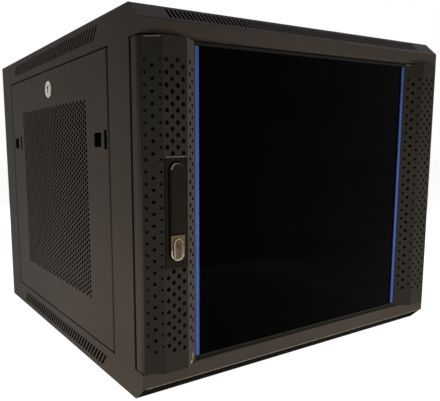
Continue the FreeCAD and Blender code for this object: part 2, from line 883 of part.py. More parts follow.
def lock_barrel():
    """Round bezel, drawn with 24 sides, and the threaded barrel behind it."""
    centre = V(-half_width, panel_middle, lock_z)
    bezel = prism(24, lock_bezel_radius, centre, V(-1, 0, 0), lock_bezel)
    barrel = threaded(lock_barrel_radius, centre, RIGHT, lock_barrel_depth)
    start = centre - V(lock_bezel + 1, 0, 0)
    bore = cylinder(lock_plug_radius + plug_clearance, start, RIGHT, lock_barrel_depth + lock_bezel + 2)
    return bezel.fuse(barrel).removeSplitter().cut(bore)


def lock_plug():
    """Key plug with its cam, which points up behind the frame when locked."""
    face = -half_width - lock_bezel + plug_inset
    rear = -half_width + lock_barrel_depth + lock_cam_room
    plug = cylinder(lock_plug_radius, V(face, panel_middle, lock_z), RIGHT, rear + lock_cam_thickness - face)
    half = lock_cam_width / 2
    cam_top = high - lock_cam_gap
    cam = box(rear, rear + lock_cam_thickness, panel_middle - half, panel_middle + half, lock_z, cam_top)
    wide = key_slot_width / 2
    tall = key_slot_height / 2
    y0 = panel_middle - wide
    slot = box(face - 1, face + key_slot_depth, y0, y0 + key_slot_width, lock_z - tall, lock_z + tall)
    return plug.fuse(cam).removeSplitter().cut(slot)


def right_side(shape):
    """The right panel is the left one turned about the upright through the middle of the opening."""
    return half_turn(shape, V(0, panel_middle, 0), UP)


# ================================================================ nodes
def make_nodes():
    nodes = {}
    nodes["top_front_member"] = front_member(front_slots())
    nodes["top_left_member"] = side_member(side_slots())
    # The bottom frame has the same slots in the product; they are left out to keep the model light.
    nodes["bottom_front_member"] = to_bottom(front_member([]))
    nodes["bottom_left_member"] = to_bottom(side_member([]))
    for name in ("top", "bottom"):
        nodes[name + "_right_member"] = to_right(nodes[name + "_left_member"])
    for name, shape in (("rear_member", rear_member()), ("plate", cap_plate()), ("cable_cover", cable_cover())):
        nodes["top_" + name] = shape
        nodes["bottom_" + name] = to_bottom(shape)

    for name, shape in (("front_post", front_post()), ("rear_post", rear_post())):
        nodes[name + "_left"] = shape
        nodes[name + "_right"] = to_right(shape)
    nodes["rear_panel"] = rear_panel()

    for name, offset in (("upper", upper_brace), ("lower", lower_brace)):
        nodes[name + "_brace_left"] = brace(offset)
        nodes[name + "_brace_right"] = to_right(brace(offset))
    for name, face_y, facing in (("front", front_rail_y, -1), ("rear", rear_rail_y, 1)):
        nodes[name + "_rack_rail_left"] = rack_rail(face_y, facing)
        nodes[name + "_rack_rail_right"] = to_right(rack_rail(face_y, facing))
    nodes["rail_nut_plates"] = group(nut_plates() + [to_right(plate) for plate in nut_plates()])
    nodes["earth_stud"] = earth_stud()

    nodes["door_stile_left"] = left_stile()
    nodes["door_stile_right"] = right_stile()
    nodes["door_rail_top"] = door_rail()
    nodes["door_rail_bottom"] = to_bottom(door_rail())
    nodes["door_glass"] = door_glass()
    nodes["trim_strip_left"] = trim_strip()
    nodes["trim_strip_right"] = to_right(trim_strip())
    nodes["hinge_pins"] = group([hinge_pin(), to_bottom(hinge_pin())])

    nodes["handle_housing"] = handle_housing()
    nodes["handle_lock_head"] = lock_head()
    nodes["handle_rotor"] = rotor()
    nodes["handle_lever_pin"] = lever_pin()
    nodes["door_latch_cam"] = latch_cam()
    nodes["handle_lever"] = handle_lever()
    nodes["handle_key_plug"] = key_plug()
    nodes["handle_dust_cover"] = dust_cover()

    latches = {"front": (front_window_y, front_bolt_tip), "rear": (rear_window_y, rear_bolt_tip)}
    left = {
        "side_panel": side_panel(),
        "latch_housings": group([latch_housing(*place_of) for place_of in latches.values()]),
        "front_latch": latch_slider(*latches["front"]),
        "rear_latch": latch_slider(*latches["rear"]),
        "lock_barrel": lock_barrel(),
        "lock_plug": lock_plug(),
    }
    for name, shape in left.items():
        nodes["left_" + name] = shape
        # Turned round, the front latch of the left panel is the rear latch of the right one.
        swapped = {"front_latch": "rear_latch", "rear_latch": "front_latch"}
        nodes["right_" + swapped.get(name, name)] = right_side(shape)
    return nodes


os.makedirs("parts", exist_ok=True)
for node, solid in make_nodes().items():
    solid.exportStep("parts/" + node + ".step")
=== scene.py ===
import json
import math

import bmesh
import bpy
from mathutils import Matrix, Vector
from mathutils.geometry import delaunay_2d_cdt


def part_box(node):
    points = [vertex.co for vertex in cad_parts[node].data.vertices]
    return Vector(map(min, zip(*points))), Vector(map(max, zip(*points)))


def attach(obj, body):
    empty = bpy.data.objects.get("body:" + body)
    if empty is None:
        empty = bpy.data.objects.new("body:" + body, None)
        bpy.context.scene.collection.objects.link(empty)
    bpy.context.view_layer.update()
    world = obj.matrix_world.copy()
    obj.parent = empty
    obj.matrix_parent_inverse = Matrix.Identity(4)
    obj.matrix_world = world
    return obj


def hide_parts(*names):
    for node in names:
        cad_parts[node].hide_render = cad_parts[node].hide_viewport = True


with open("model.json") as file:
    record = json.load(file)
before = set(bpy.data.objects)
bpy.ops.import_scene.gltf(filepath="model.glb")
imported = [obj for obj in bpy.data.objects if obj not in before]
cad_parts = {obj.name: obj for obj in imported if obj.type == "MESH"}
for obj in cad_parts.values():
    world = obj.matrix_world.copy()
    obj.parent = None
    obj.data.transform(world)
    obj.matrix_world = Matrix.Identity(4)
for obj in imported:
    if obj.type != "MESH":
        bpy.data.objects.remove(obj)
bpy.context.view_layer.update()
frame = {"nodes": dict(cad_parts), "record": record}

# Wall mount network cabinet: the looks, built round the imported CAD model.
# Shapes are worked out in millimetres in the CAD frame and scaled to metres at the end.
MM = 0.001
scene = bpy.context.scene


def span(node, axis):
    """Lowest and highest place of a CAD node along an axis (0, 1 or 2), in millimetres."""
    low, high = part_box(node)
    return low[axis] / MM, high[axis] / MM


# ---------------------------------------------------------------- places read from the CAD model
LEFT, RIGHT = span("top_front_member", 0)[0] - 1.2, span("top_front_member", 0)[1] + 1.2
FRONT, BACK = span("top_left_member", 1)
LOW = span("bottom_left_member", 2)[1]
HIGH, TOP = span("top_left_member", 2)
MIDDLE = TOP / 2
DOOR_LOW, DOOR_HIGH = span("door_stile_left", 2)
RIDGE_FRONT = span("door_stile_left", 1)[0]
DOOR_BACK = span("door_stile_left", 1)[1]
GLASS_FRONT, GLASS_BACK = span("door_glass", 1)
HANDLE_LEFT, HANDLE_RIGHT = span("handle_housing", 0)
HANDLE_LOW, HANDLE_HIGH = span("handle_housing", 2)
HANDLE_X = (HANDLE_LEFT + HANDLE_RIGHT) / 2
TRAY_FRONT, TRAY_BACK = span("left_side_panel", 1)
TRAY_LOW, TRAY_HIGH = span("left_side_panel", 2)
TRAY_INNER = span("left_side_panel", 0)[1]
PANEL_MIDDLE = (TRAY_FRONT + TRAY_BACK) / 2

# Box inside the cabinet in which the body coat turns darker: painted shade.
INSIDE_LOW = ((LEFT + 2.5) * MM, (FRONT + 22.5) * MM, (LOW + 1.5) * MM)
INSIDE_HIGH = ((RIGHT - 2.5) * MM, (BACK - 0.6) * MM, (HIGH - 1.5) * MM)

CAP_SHEET = 1.2
CHAMFER = 20.0
BEND = 1.2
BEND_STEPS = 5


# ---------------------------------------------------------------- materials
def node_of(tree, kind, **inputs):
    node = tree.nodes.new(kind)
    for name, value in inputs.items():
        node.inputs[name.replace("_", " ")].default_value = value
    return node


def noise(tree, place, scale, detail=2.0, rough=0.5):
    made = node_of(tree, "ShaderNodeTexNoise", Scale=scale, Detail=detail, Roughness=rough)
    tree.links.new(place, made.inputs["Vector"])
    return made.outputs["Fac"]


def map_range(tree, source, low, high, from_low=0.3, from_high=0.7):
    made = node_of(tree, "ShaderNodeMapRange")
    made.inputs["From Min"].default_value = from_low
    made.inputs["From Max"].default_value = from_high
    made.inputs["To Min"].default_value = low
    made.inputs["To Max"].default_value = high
    tree.links.new(source, made.inputs["Value"])
    return made.outputs["Result"]


def blended(tree, factor, first, second):
    made = tree.nodes.new("ShaderNodeMix")
    made.data_type = "RGBA"
    tree.links.new(factor, made.inputs["Factor"])
    for socket, colour in ((made.inputs[6], first), (made.inputs[7], second)):
        if isinstance(colour, tuple):
            socket.default_value = (*colour, 1.0)
        else:
            tree.links.new(colour, socket)
    return made.outputs[2]


def maths(tree, operation, first, second):
    made = tree.nodes.new("ShaderNodeMath")
    made.operation = operation
    tree.links.new(first, made.inputs[0])
    if isinstance(second, float):
        made.inputs[1].default_value = second
    else:
        tree.links.new(second, made.inputs[1])
    return made.outputs[0]


def within(tree, place, low, high):
    """1 inside the box from low to high (in metres, in the object's own frame), and 0 outside it."""
    past = tree.nodes.new("ShaderNodeVectorMath")
    past.operation = "SUBTRACT"
    tree.links.new(place, past.inputs[0])
    past.inputs[1].default_value = [(a + b) / 2 for a, b in zip(low, high)]
    far = tree.nodes.new("ShaderNodeVectorMath")
    far.operation = "ABSOLUTE"
    tree.links.new(past.outputs[0], far.inputs[0])
    parts = tree.nodes.new("ShaderNodeSeparateXYZ")
    tree.links.new(far.outputs[0], parts.inputs[0])
    inside = [maths(tree, "LESS_THAN", parts.outputs[i], (b - a) / 2) for i, (a, b) in enumerate(zip(low, high))]
    return maths(tree, "MULTIPLY", maths(tree, "MULTIPLY", inside[0], inside[1]), inside[2])


def surface(name, dark, light, roughness, metallic=0.0, grain=700.0, bump=0.12, cloud=9.0, specular=0.5,
            inside_shade=None):
    """Finish with a slow drift between two colours, fine grain in its gloss, and a shallow bump.

    inside_shade is a darker colour that the same paint is given inside the cabinet: painted shade.
    """
    material = bpy.data.materials.new(name)
    material.use_nodes = True
    tree = material.node_tree
    shader = tree.nodes["Principled BSDF"]
    place = tree.nodes.new("ShaderNodeTexCoord").outputs["Object"]
    drift = map_range(tree, noise(tree, place, cloud, 3.0), 0.0, 0.7)
    speckle = map_range(tree, noise(tree, place, grain, 2.0, 0.6), 0.0, 0.3)
    colour = blended(tree, maths(tree, "ADD", drift, speckle), dark, light)
    if inside_shade:
        colour = blended(tree, within(tree, place, INSIDE_LOW, INSIDE_HIGH), colour, inside_shade)
    tree.links.new(colour, shader.inputs["Base Color"])
    gloss = map_range(tree, noise(tree, place, grain * 0.4, 2.0), roughness * 0.85, roughness * 1.15)
    tree.links.new(gloss, shader.inputs["Roughness"])
    shader.inputs["Metallic"].default_value = metallic
    shader.inputs["Specular IOR Level"].default_value = specular
    relief = node_of(tree, "ShaderNodeBump", Strength=bump, Distance=0.0003)
    tree.links.new(noise(tree, place, grain, 2.0, 0.6), relief.inputs["Height"])
    tree.links.new(relief.outputs["Normal"], shader.inputs["Normal"])
    return material


# Body coat, darker inside the cabinet, where that darkness paints the shade in there.
BODY = surface("body_powder_coat", (0.040, 0.0325, 0.0255), (0.049, 0.0405, 0.0325), 0.55, grain=900, specular=0.03,
               inside_shade=(0.012, 0.0102, 0.0085))
# Darker copy of the body coat for the door stiles: painted shade.
DOOR_SHADE = surface("door_coat_painted_shade", (0.0186, 0.0158, 0.0122), (0.0234, 0.0199, 0.0154), 0.55, grain=900, specular=0.03)
# Still darker copy of the coat for the outer slope of the left stile: painted shade.
DOOR_OUTER_SHADE = surface("door_outer_slope_painted_shade", (0.0155, 0.0145, 0.0116), (0.0192, 0.0180, 0.0145), 0.55, grain=900,
                    specular=0.03)
# Lighter copy of the coat for the inner slope of the left stile: painted light.
DOOR_INNER_LIGHT = surface("door_inner_slope_painted_light", (0.046, 0.0395, 0.0315), (0.057, 0.0495, 0.0395), 0.55, grain=900,
                     specular=0.03)
# Very dark copy of the coat for the door rails: painted shade.
DOOR_RAIL_SHADE = surface("door_rail_painted_shade", (0.0095, 0.0092, 0.0075), (0.0130, 0.0126, 0.0102), 0.55, grain=900,
                    specular=0.03)
# Near-black copy of the coat for the braces, the rails and the inner faces of the panels: painted shade.
BAY_SHADE = surface("bay_paint", (0.007, 0.0062, 0.0055), (0.011, 0.0098, 0.0085), 0.5, grain=900, specular=0.0)
# Dark copy of the coat for the downward slope of the bottom frame: painted shade.
UNDER_SHADE = surface("under_slope_painted_shade", (0.010, 0.0088, 0.0074), (0.016, 0.014, 0.0118), 0.8, grain=900, specular=0.0)
# Lighter, cooler copy of the coat for the upward slope of the top frame: painted light and sheen.
SLOPE_LIGHT = surface("top_slope_painted_light", (0.043, 0.0400, 0.0390), (0.054, 0.0505, 0.0495), 0.55, grain=900, specular=0.03)
ZINC = surface("zinc_plate", (0.45, 0.45, 0.44), (0.62, 0.62, 0.6), 0.38, metallic=1.0, grain=500, cloud=60, bump=0.05)
BLUE = surface("blue_trim_plastic", (0.036, 0.074, 0.225), (0.051, 0.095, 0.285), 0.4, grain=600, bump=0.05, cloud=20,
               specular=0.08)
# Dark navy for the sides and rounded edges of the blue strips: painted shade.
BLUE_SHADE = surface("blue_trim_painted_shade", (0.004, 0.010, 0.045), (0.008, 0.018, 0.075), 0.4, grain=600, bump=0.05, cloud=20,
               specular=0.08)
HANDLE = surface("handle_plastic", (0.0064, 0.0051, 0.0036), (0.0092, 0.0074, 0.0053), 0.4, grain=1400, bump=0.08,
                 specular=0.04)
# Its colour drifts at random between dark and light patches, which paints varied reflections into the chrome.
CHROME = surface("lock_chrome", (0.17, 0.145, 0.115), (0.62, 0.58, 0.52), 0.24, metallic=1.0, grain=900, bump=0.03,
                 cloud=140)
NICKEL = surface("lock_head_nickel", (0.080, 0.055, 0.033), (0.150, 0.108, 0.068), 0.34, metallic=1.0, grain=1200,
                 bump=0.06, cloud=160)
COVER = surface("cover_steel", (0.035, 0.024, 0.015), (0.150, 0.108, 0.068), 0.3, metallic=1.0, grain=1200, bump=0.10,
                cloud=420)
# Bright metal for small glints on a stile's foot, the lock head and the dust cover's rim: painted highlight.
GLINT_METAL = surface("painted_glint_metal", (0.26, 0.21, 0.155), (0.66, 0.59, 0.48), 0.3, metallic=1.0, grain=1200, bump=0.04,
               cloud=300)
# Lighter copy of the coat for the bars of the perforated field: painted highlight.
FIELD_LIGHT = surface("panel_field_painted_light", (0.044, 0.037, 0.029), (0.058, 0.048, 0.038), 0.5, grain=900, specular=0.02)
# Light paint for the thin lines along folds and edges: painted highlight.
FOLD_HIGHLIGHT = surface("fold_painted_highlight", (0.085, 0.073, 0.058), (0.200, 0.172, 0.138), 0.45, grain=900, specular=0.08,
                    cloud=260)
# Light metallic finish for glints on the lever's top and on a corner of the right stile: painted highlight.
GLINT_EDGE = surface("painted_glint_edge", (0.020, 0.018, 0.015), (0.20, 0.18, 0.15), 0.35, metallic=0.8, grain=1200,
               bump=0.04, cloud=400)
PLASTIC = surface("latch_plastic", (0.0014, 0.0012, 0.0011), (0.0026, 0.0023, 0.002), 0.5, grain=1200, bump=0.1,
                  specular=0.0)


def glass_material():
    # Smoked glass tinted almost black, so that the inside of the cabinet shows black through it: a real tint, darkened
    # further as painted shade.
    material = surface("smoked_glass", (0.0005, 0.0005, 0.0005), (0.0008, 0.0008, 0.0008), 0.03, grain=40, bump=0.0,
                       cloud=3, specular=0.03)
    shader = material.node_tree.nodes["Principled BSDF"]
    shader.inputs["Transmission Weight"].default_value = 1.0
    shader.inputs["IOR"].default_value = 1.06
    return material


GLASS = glass_material()


# ---------------------------------------------------------------- mesh helpers
def new_mesh():
    return bmesh.new()


def settle(bm, name, material, body, slot, *stood_for):
    """Turns the mesh into a piece in metres that rides on a body and stands for CAD nodes."""
    bmesh.ops.remove_doubles(bm, verts=bm.verts, dist=0.002)
    bmesh.ops.recalc_face_normals(bm, faces=bm.faces)
    bmesh.ops.scale(bm, verts=bm.verts, vec=(MM, MM, MM))
    mesh = bpy.data.meshes.new(name)
    bm.to_mesh(mesh)
    bm.free()
    mesh.materials.append(material)
    piece = bpy.data.objects.new(name, mesh)
    scene.collection.objects.link(piece)
    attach(piece, body)
    if stood_for:
        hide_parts(*stood_for)
    return piece


def second_finish(piece, material, test):
    """Gives a further material to the faces whose normal and middle (in millimetres) pass the test."""
    piece.data.materials.append(material)
    for polygon in piece.data.polygons:
        if test(polygon.normal, polygon.center / MM):
            polygon.material_index = len(piece.data.materials) - 1


def add_bar(bm, low, high):
    """Plain bar of metal between two corners."""
    made = bmesh.ops.create_cube(bm, size=1.0)["verts"]
    size = [b - a for a, b in zip(low, high)]
    centre = [(a + b) / 2 for a, b in zip(low, high)]
    bmesh.ops.scale(bm, verts=made, vec=size)
    bmesh.ops.translate(bm, verts=made, vec=centre)


def add_sheet(bm, outline, holes, sheet, place, open_ends=()):
    """Flat sheet with holes: place(u, v, w) puts a point, where w runs from 0, the outer face, to the sheet.

    The edge faces at the values of u in open_ends are left out, because the sheet goes on there.
    """
    points, rims, owner = [], [], []
    for number, loop in enumerate([outline] + holes):
        first = len(points)
        points += [Vector(p) for p in loop]
        owner += [number] * len(loop)
        rims.append([(first + i, first + (i + 1) % len(loop)) for i in range(len(loop))])
    flat, _, triangles, sources = delaunay_2d_cdt(points, [e for rim in rims for e in rim], [], 1, 1e-4)[:4]
    made_from = {source: i for i, group in enumerate(sources) for source in group}
    loop_of = {i: owner[source] for source, i in made_from.items()}
    outside = [bm.verts.new(place(p.x, p.y, 0.0)) for p in flat]
    inside = [bm.verts.new(place(p.x, p.y, sheet)) for p in flat]
    for corners in triangles:
        loops = {loop_of[i] for i in corners}
        if len(loops) == 1 and 0 not in loops:
            continue
        bm.faces.new([outside[i] for i in corners])
        bm.faces.new([inside[i] for i in corners])
    for number, rim in enumerate(rims):
        for a, b in rim:
            if number == 0 and any(abs(points[a].x - u) + abs(points[b].x - u) < 0.002 for u in open_ends):
                continue
            i, j = made_from[a], made_from[b]
            bm.faces.new((outside[i], outside[j], inside[j], inside[i]))


def round_hole(u, v, radius, sides=12, stretch=1.0):
    turns = [2 * math.pi * i / sides for i in range(sides)]
    return [(u + radius * stretch * math.cos(a), v + radius * math.sin(a)) for a in turns]


def square_hole(u0, u1, v0, v1):
    return [(u0, v0), (u1, v0), (u1, v1), (u0, v1)]


class Fold:
    """Sheet folded along a path in a section plane; the metal lies to the right of the path.

    Points of the path whose numbers are in sharp are folded square, the rest round; wide maps a
    point's number to its own inner radius.
    """

    def __init__(self, path, sheet, radius, sharp=(), wide=None):
        self.points = [Vector((u, v)) for u, v in path]
        self.sheet = sheet
        count = len(self.points)
        self.heads = [(self.points[i + 1] - self.points[i]).normalized() for i in range(count - 1)]
        self.rights = [Vector((h.y, -h.x)) for h in self.heads]
        self.lengths = [(self.points[i + 1] - self.points[i]).length for i in range(count - 1)]
        self.bends = {}
        reach = {0: 0.0, count - 1: 0.0}
        self.mitres = {0: self.rights[0] * sheet, count - 1: self.rights[-1] * sheet}
        for i in range(1, count - 1):
            before, after = self.rights[i - 1], self.rights[i]
            self.mitres[i] = (before + after) * (sheet / (1 + before.dot(after)))
            half = self.heads[i - 1].angle(self.heads[i]) / 2
            right_turn = self.heads[i - 1].cross(self.heads[i]) < 0
            bend = (wide or {}).get(i, radius)
            outer = bend + sheet if right_turn else bend
            reach[i] = 0.0 if i in sharp else outer * math.tan(half)
            if i not in sharp:
                self.bends[i] = (outer, right_turn)
        self.starts = [reach[i] for i in range(count - 1)]
        self.ends = [self.lengths[i] - reach[i + 1] for i in range(count - 1)]

    def along(self, flat, place):
        """How far along a flat the point (u, v) of the section lies."""
        return (Vector(place) - self.points[flat]).dot(self.heads[flat])

    def point(self, flat, s, w):
        """Section point at s along a flat and w into the metal, with square folds mitred."""
        if abs(s) < 1e-3:
            return self.points[flat] + self.mitres[flat] * (w / self.sheet)
        if abs(s - self.lengths[flat]) < 1e-3:
            return self.points[flat + 1] + self.mitres[flat + 1] * (w / self.sheet)
        return self.points[flat] + self.heads[flat] * s + self.rights[flat] * w

    def columns(self, corner):
        """Pairs of outer and inner section points round a bend."""
        outer, right_turn = self.bends[corner]
        side = 1 if right_turn else -1
        start = self.points[corner - 1] + self.heads[corner - 1] * self.ends[corner - 1]
        centre = start + self.rights[corner - 1] * (side * outer)
        first = -self.rights[corner - 1] * side
        turn = -side * self.heads[corner - 1].angle(self.heads[corner])
        inner = outer - side * self.sheet
        pairs = []
        for i in range(BEND_STEPS + 1):
            angle = turn * i / BEND_STEPS
            cos, sin = math.cos(angle), math.sin(angle)
            arm = Vector((first.x * cos - first.y * sin, first.x * sin + first.y * cos))
            pairs.append((centre + arm * outer, centre + arm * inner))
        return pairs


def add_fold(bm, fold, c0, c1, to_space, holes=None):
    """Pulls a folded section from c0 to c1. holes maps a flat's number to loops of (s, c) in it."""
    holes = holes or {}
    count = len(fold.heads)
    for flat in range(count):
        s0, s1 = fold.starts[flat], fold.ends[flat]
        outline = square_hole(s0, s1, c0, c1)
        closed = ([s0] if flat > 0 else []) + ([s1] if flat < count - 1 else [])

        def place(s, c, w, flat=flat):
            return to_space(fold.point(flat, s, w), c)

        add_sheet(bm, outline, holes.get(flat, []), fold.sheet, place, closed)
    for corner in fold.bends:
        rows = []
        for outside, inside in fold.columns(corner):
            rows.append([bm.verts.new(to_space(p, c)) for p, c in
                         ((outside, c0), (outside, c1), (inside, c1), (inside, c0))])
        for before, after in zip(rows, rows[1:]):
            for i in range(4):
                face = bm.faces.new((before[i], before[(i + 1) % 4], after[(i + 1) % 4], after[i]))
                face.smooth = i in (0, 2)


def turned_over(bm, matrix):
    bmesh.ops.transform(bm, matrix=matrix, verts=bm.verts)
    return bm


TO_BOTTOM = Matrix.Translation((0, 0, 2 * MIDDLE)) @ Matrix.Diagonal((1, 1, -1, 1))
TO_RIGHT = Matrix.Diagonal((-1, 1, 1, 1))
DOOR_TURN = Matrix.Translation((0, 0, 2 * MIDDLE)) @ Matrix.Diagonal((-1, 1, -1, 1))
PANEL_TURN = Matrix.Translation((0, 2 * PANEL_MIDDLE, 0)) @ Matrix.Diagonal((-1, -1, 1, 1))
NO_TURN = Matrix.Identity(4)


def places(first, last, pitch):
    """Places a pitch apart, centred between first and last."""
    count = int((last - first) / pitch + 1e-6) + 1
    start = (first + last - (count - 1) * pitch) / 2
    return [start + i * pitch for i in range(count)]


def bead(name, points, radius, material, body, slot, turn=NO_TURN):
    """Thin round wire along the points, drawn to nothing at both ends; in a light finish it paints a highlight along
    an edge.
    """
    bm = new_mesh()
    path = [Vector(p) for p in points]
    rings = []
    for i, place in enumerate(path):
        heading = (path[min(i + 1, len(path) - 1)] - path[max(i - 1, 0)]).normalized()
        side = heading.orthogonal().normalized()
        other = heading.cross(side)
        thick = radius * (0.25 if i in (0, len(path) - 1) else 1.0)
        rings.append([bm.verts.new(place + (side * math.cos(a) + other * math.sin(a)) * thick)
                      for a in [math.pi * k / 4 for k in range(8)]])
    for before, after in zip(rings, rings[1:]):
        for k in range(8):
            face = bm.faces.new((before[k], before[(k + 1) % 8], after[(k + 1) % 8], after[k]))
            face.smooth = True
    for ring in (rings[0], rings[-1]):
        bm.faces.new(ring)
    return settle(turned_over(bm, turn), name, material, body, slot)


# ---------------------------------------------------------------- top and bottom frames
MEMBER_BACK = span("top_front_member", 1)[1]
SEAT_INNER = span("top_left_member", 0)[1]
LIP = 15.0


def front_member():
    """Front of a frame: fascia, slope with its row of slots, and the flanges behind."""
    bm = new_mesh()
    fold = Fold([(MEMBER_BACK, HIGH), (FRONT, HIGH), (FRONT, TOP - CHAMFER), (FRONT + CHAMFER, TOP),
                 (MEMBER_BACK, TOP)], CAP_SHEET, BEND)
    slope = fold.lengths[2]
    tall = slope / 2 - 4.5
    slots = []
    for x in places(LEFT + 50, RIGHT - 50, 6.57):
        slots.append(square_hole(slope / 2 - tall, slope / 2 + tall, x - 2.0, x + 2.0))
    pin = [round_hole(fold.along(0, (span("hinge_pins", 1)[0] + 4.5, HIGH)), span("hinge_pins", 0)[0] + 4.5, 3.1)]
    add_fold(bm, fold, LEFT + CAP_SHEET, RIGHT - CAP_SHEET, lambda p, c: (c, p.x, p.y), {0: pin, 2: slots})
    return bm


def side_member(lean):
    """Side of a frame: skirt with leaning slots, the seat for the posts and the lip beside the plate."""
    bm = new_mesh()
    outline = [(FRONT, HIGH), (FRONT, TOP - CHAMFER), (FRONT + CHAMFER, TOP), (BACK, TOP), (BACK, HIGH)]
    slots = []
    low, high = HIGH + 12.5, HIGH + 31.5
    for y in places(FRONT + 118, BACK - 102, 10.0):
        a, b = y + lean / 2, y - lean / 2
        slots.append([(a - 3.0, low), (a + 3.0, low), (b + 3.0, high), (b - 3.0, high)])
    add_sheet(bm, outline, slots, CAP_SHEET, lambda u, v, w: (LEFT + w, u, v))
    inside = LEFT + CAP_SHEET
    add_bar(bm, (inside, MEMBER_BACK, HIGH), (SEAT_INNER, BACK - 38, HIGH + CAP_SHEET))
    add_bar(bm, (inside, MEMBER_BACK, TOP - CAP_SHEET), (LEFT + LIP, BACK - LIP, TOP))
    return bm


for level, matrix, lean in (("top", NO_TURN, 15.5), ("bottom", TO_BOTTOM, -15.5)):
    front = settle(turned_over(front_member(), matrix), level + "_front_slotted", BODY, "cabinet", "body_paint",
                   level + "_front_member")
    if level == "top":
        # The upward slope takes the lighter copy: painted light.
        second_finish(front, SLOPE_LIGHT, lambda n, p: n.z > 0.5 and n.y < -0.5)
    if level == "bottom":
        # The downward slope takes the dark copy: painted shade.
        second_finish(front, UNDER_SHADE, lambda n, p: n.z < -0.5 and n.y < -0.5)
        # A light wire along the lower fold paints the highlight on its bend.
        bend_z = 2 * MIDDLE - (TOP - CHAMFER)
        fold_line = [(x, FRONT + 0.2, bend_z) for x in (LEFT + 3, LEFT + 8, 0, RIGHT - 8, RIGHT - 3)]
        bead("bottom_fold_highlight", fold_line, 0.75, FOLD_HIGHLIGHT, "cabinet", "body_paint")
    for side, flip in (("left", NO_TURN), ("right", TO_RIGHT)):
        settle(turned_over(side_member(lean), flip @ matrix), f"{level}_{side}_slotted", BODY, "cabinet",
               "body_paint", f"{level}_{side}_member")


# ---------------------------------------------------------------- door stiles
STILE_INNER = span("trim_strip_left", 0)[0] - 0.3
RIDGE_OUTER = LEFT + 25.0
RIDGE_INNER = STILE_INNER - 23.2
EDGE_DROP = 2.8
ROW_PITCH = 14.7
ROWS = 25
HOLE = 2.75


def heights(phase, lift):
    top = MIDDLE + ((ROWS - 1) * ROW_PITCH + ROW_PITCH / 2) / 2 + lift
    return [top - (row + phase / 2) * ROW_PITCH for row in range(ROWS)]


# Hole columns: the flat they are in, their place along it from its outer end, phase, and hole radius.
OUTER_COLUMNS = [(3, 7.9, 0, 2.2), (3, 16.9, 1, 2.3), (3, 26.3, 0, 1.7)]
LEFT_COLUMNS = OUTER_COLUMNS + [(2, 5.9, 0, 2.95), (2, 13.8, 1, 2.95), (2, 21.7, 0, 2.95), (2, 29.6, 1, 2.95),
                                (1, 10.7, 0, 2.9), (1, 20.3, 1, 2.6)]
RIGHT_COLUMNS = OUTER_COLUMNS + [(2, 8.2, 1, 2.5), (2, 16.0, 0, 2.7), (2, 24.2, 1, 2.6), (2, 31.9, 0, 2.3),
                                 (1, 4.6, 1, 2.3), (1, 14.5, 0, 2.6), (1, 22.4, 1, 2.1)]
CORNER_RADIUS = 6.0
DOOR_END = DOOR_BACK - 2.6


def stile(columns, lift, window):
    """Folded door edge: ridge and both slopes with staggered holes, closed by a plate at each end."""
    bm = new_mesh()
    path = [
        (STILE_INNER, GLASS_BACK + CAP_SHEET),
        (STILE_INNER, FRONT + EDGE_DROP),
        (RIDGE_INNER, RIDGE_FRONT),
        (RIDGE_OUTER, RIDGE_FRONT),
        (LEFT, FRONT),
        (LEFT, DOOR_END),
        (LEFT + 15.0, DOOR_END),
    ]
    fold = Fold(path, CAP_SHEET, BEND, sharp=(1, 5), wide={4: CORNER_RADIUS})
    holes = {1: [], 2: [], 3: []}
    for flat, from_outer, phase, radius in columns:
        s = fold.lengths[flat] - from_outer
        for z in heights(phase, lift):
            if window and flat == 2 and HANDLE_LOW - 3.9 < z < HANDLE_HIGH + 3.9:
                continue
            holes[flat].append(round_hole(s, z, radius, stretch=1.4 if window and flat == 1 else 1.0))
    if window:
        s0 = fold.along(2, (HANDLE_RIGHT + 0.9, RIDGE_FRONT))
        s1 = fold.along(2, (HANDLE_LEFT - 0.9, RIDGE_FRONT))
        holes[2].append(square_hole(s0, s1, HANDLE_LOW - 0.3, HANDLE_HIGH + 0.3))
    add_fold(bm, fold, DOOR_LOW, DOOR_HIGH, lambda p, c: (p.x, p.y, c), holes)
    flange = square_hole(STILE_INNER, STILE_INNER + 14.0, DOOR_LOW + 18, DOOR_HIGH - 18)
    add_sheet(bm, flange, [], CAP_SHEET, lambda u, v, w: (u, GLASS_BACK + w, v))
    inset = 0.4
    end = [(STILE_INNER - CAP_SHEET, DOOR_END), (STILE_INNER - CAP_SHEET, FRONT + EDGE_DROP + inset),
           (RIDGE_INNER, RIDGE_FRONT + CAP_SHEET), (RIDGE_OUTER, RIDGE_FRONT + CAP_SHEET),
           (LEFT + 6.0, FRONT - 1.0), (LEFT + 2.5, FRONT + 4.5),
           (LEFT + CAP_SHEET, DOOR_END - CAP_SHEET),
           (LEFT + 15.0, DOOR_END - CAP_SHEET), (LEFT + 15.0, DOOR_END)]
    for z in (DOOR_LOW, DOOR_HIGH - CAP_SHEET):
        add_sheet(bm, end, [], CAP_SHEET, lambda u, v, w, z=z: (u, v, z + w))
    return bm


left_stile = settle(stile(LEFT_COLUMNS, 0.8, True), "stile_left_perforated", DOOR_SHADE, "door", "body_paint",
                    "door_stile_left")
# The side face of the left stile takes the lighter body coat: painted light.
second_finish(left_stile, BODY, lambda n, p: n.x < -0.75)
# The inner slope takes the lighter copy: painted light.
second_finish(left_stile, DOOR_INNER_LIGHT, lambda n, p: n.x > 0.45 and n.y < -0.5)
# The outer slope takes the darker copy: painted shade.
second_finish(left_stile, DOOR_OUTER_SHADE, lambda n, p: -0.75 < n.x < -0.3 and n.y < -0.5)
settle(turned_over(stile(RIGHT_COLUMNS, -3.1, False), DOOR_TURN), "stile_right_perforated", DOOR_SHADE, "door",
       "body_paint", "door_stile_right")


